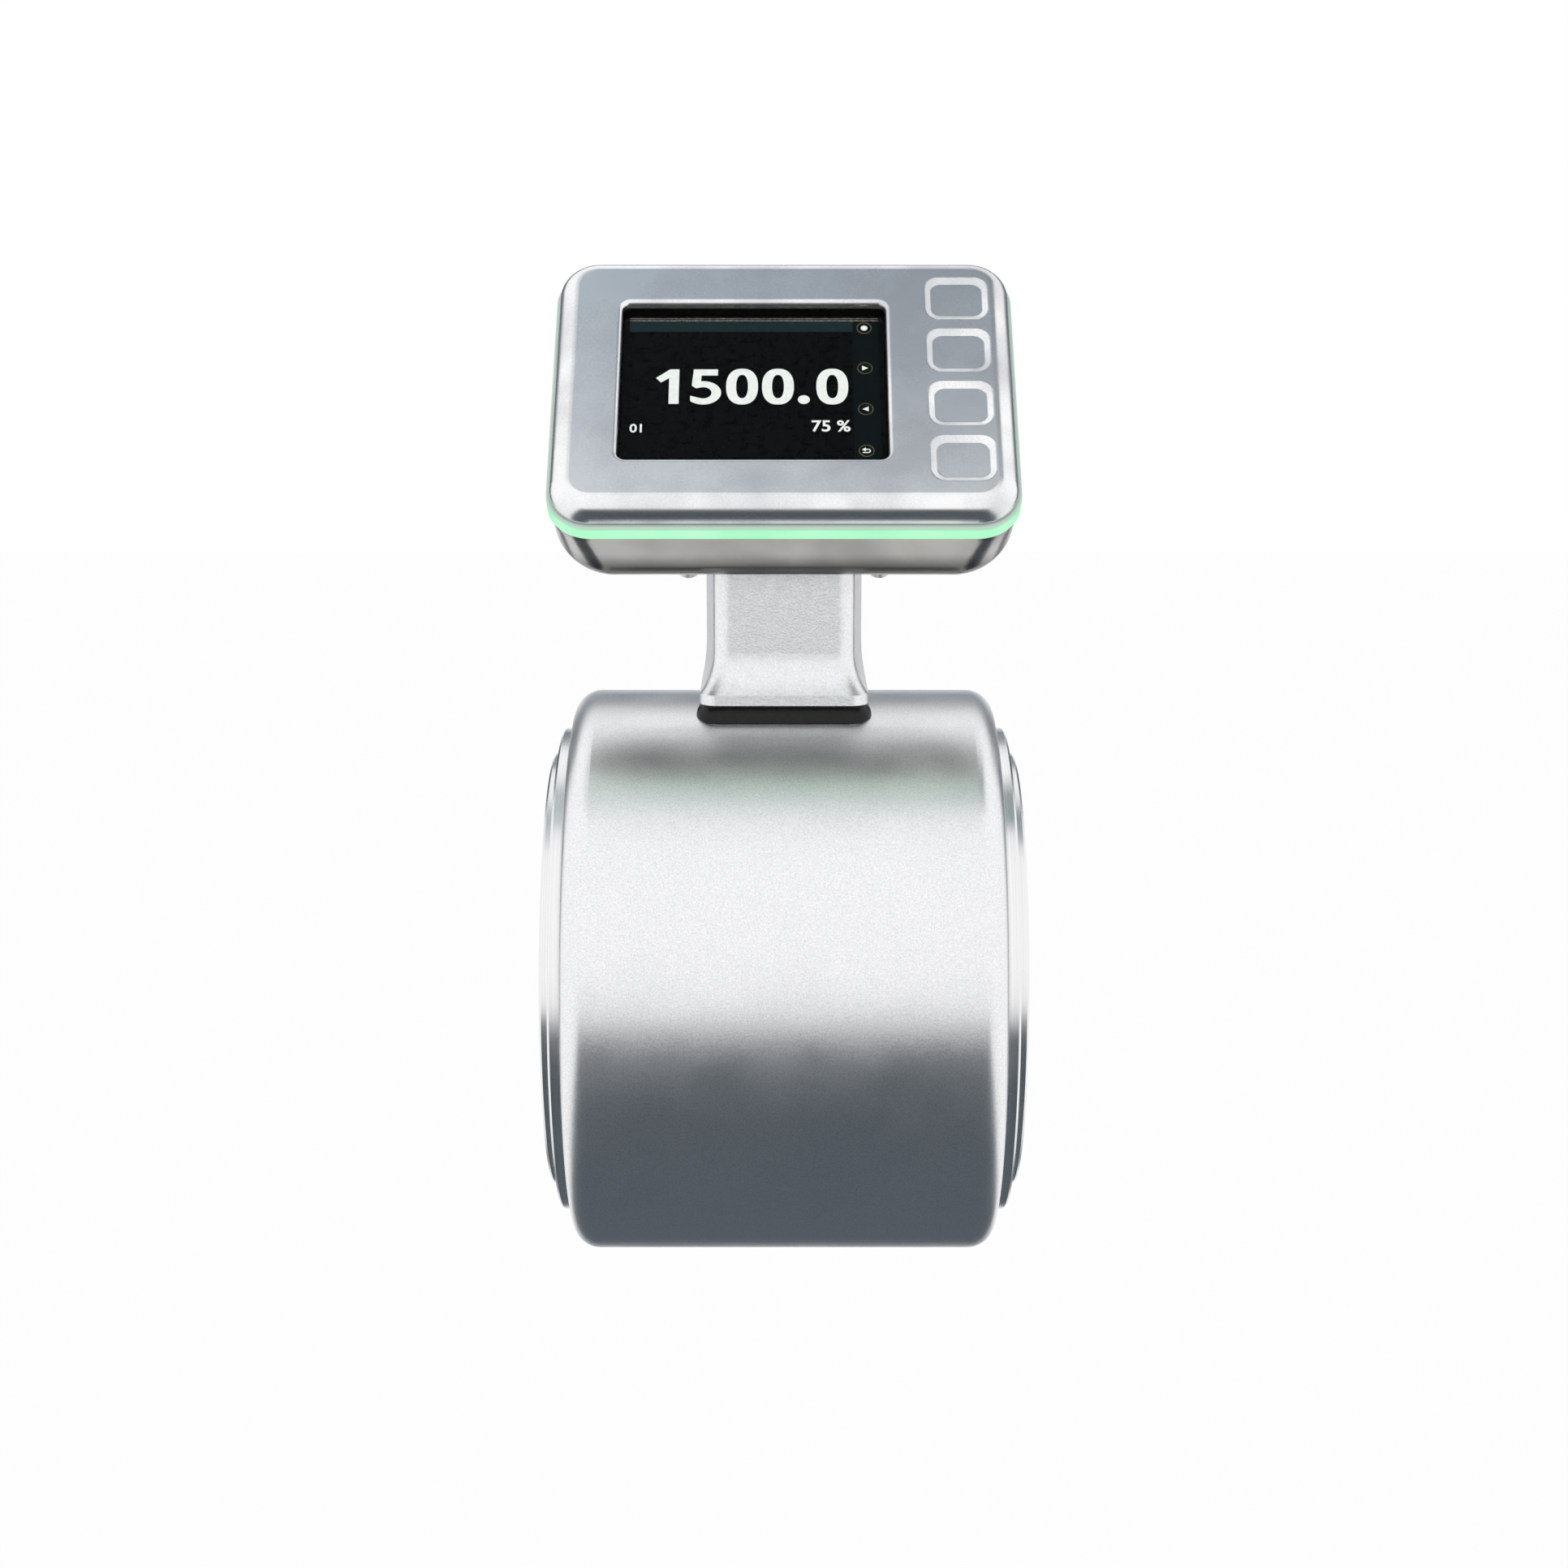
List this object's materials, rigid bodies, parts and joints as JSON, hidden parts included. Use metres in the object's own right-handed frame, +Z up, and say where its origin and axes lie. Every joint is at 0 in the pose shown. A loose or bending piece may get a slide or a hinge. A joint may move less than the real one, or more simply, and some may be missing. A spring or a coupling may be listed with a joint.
{
  "type": "electromagnetic flow meter",
  "caption": "Compact in-line flow meter: round steel sensor body with stepped end rings, cast neck, and a tilted display head with touch keys and a light ring.",
  "frame": {"origin": "centre of the flow bore, midway between the two end faces", "axes": "+X along the flow bore, -Y towards the display side, +Z up through the neck"},
  "size_m": [0.1112, 0.135, 0.2357],
  "materials": {
    "satin_steel": "bead-blasted satin",
    "turned_steel": "fine turned, semi-bright",
    "cast_steel": "coarse bead-blasted casting",
    "pressed_steel": "vibratory satin",
    "drawn_steel": "smooth drawn satin",
    "black_rubber": "glossy black",
    "liner_plastic": "moulded, smooth",
    "copper_winding": "enamelled winding",
    "soft_iron": "plain",
    "probe_alloy": "polished",
    "bush_plastic": "turned",
    "bright_fastener": "bright",
    "black_plastic": "moulded",
    "gold_contact": "plated",
    "pane_glass": "clear, polished",
    "display_black": "glossy",
    "ring_green": "translucent, lit green",
    "board_green": "solder mask",
    "lamp_white": "moulded",
    "chassis_metal": "as cast",
    "cable_black": "jacketed"
  },
  "bodies": {
    "root": {"sensor_housing": "satin_steel", "end_ring_left": "turned_steel", "end_ring_right": "turned_steel", "measuring_tube": "turned_steel", "liner": "liner_plastic", "face_seal_left": "black_rubber", "face_seal_right": "black_rubber", "coil_upper": "copper_winding", "coil_lower": "copper_winding", "pole_core_upper": "soft_iron", "pole_core_lower": "soft_iron", "return_yoke_upper": "soft_iron", "return_yoke_lower": "soft_iron", "electrode_front": "probe_alloy", "electrode_rear": "probe_alloy", "reference_electrode": "probe_alloy", "temperature_probe": "probe_alloy", "electrode_bushes": "bush_plastic", "electrode_nuts": "bright_fastener", "neck_gasket": "black_rubber", "neck_casting": "cast_steel", "neck_screws": "bright_fastener", "cable_gland": "black_plastic", "sensor_cable": "cable_black", "neck_board": "board_green", "connector_shell": "turned_steel", "connector_insert": "black_plastic", "connector_pins": "gold_contact", "connector_seal": "black_rubber", "front_shell": "pressed_steel", "front_shell_seal": "black_rubber", "light_ring": "ring_green", "rear_shell_seal": "black_rubber", "rear_shell": "drawn_steel", "window_seal": "black_rubber", "window_pane": "pane_glass", "display_module": "display_black", "display_frame": "black_plastic", "key_board": "board_green", "head_chassis": "chassis_metal", "stud_nuts": "bright_fastener", "lamp_board": "board_green", "ring_lamps": "lamp_white", "main_board": "board_green", "power_board": "board_green", "board_spacers": "black_plastic", "board_screws": "bright_fastener", "head_gasket": "black_rubber", "head_screws": "bright_fastener"}
  },
  "joints": []
}
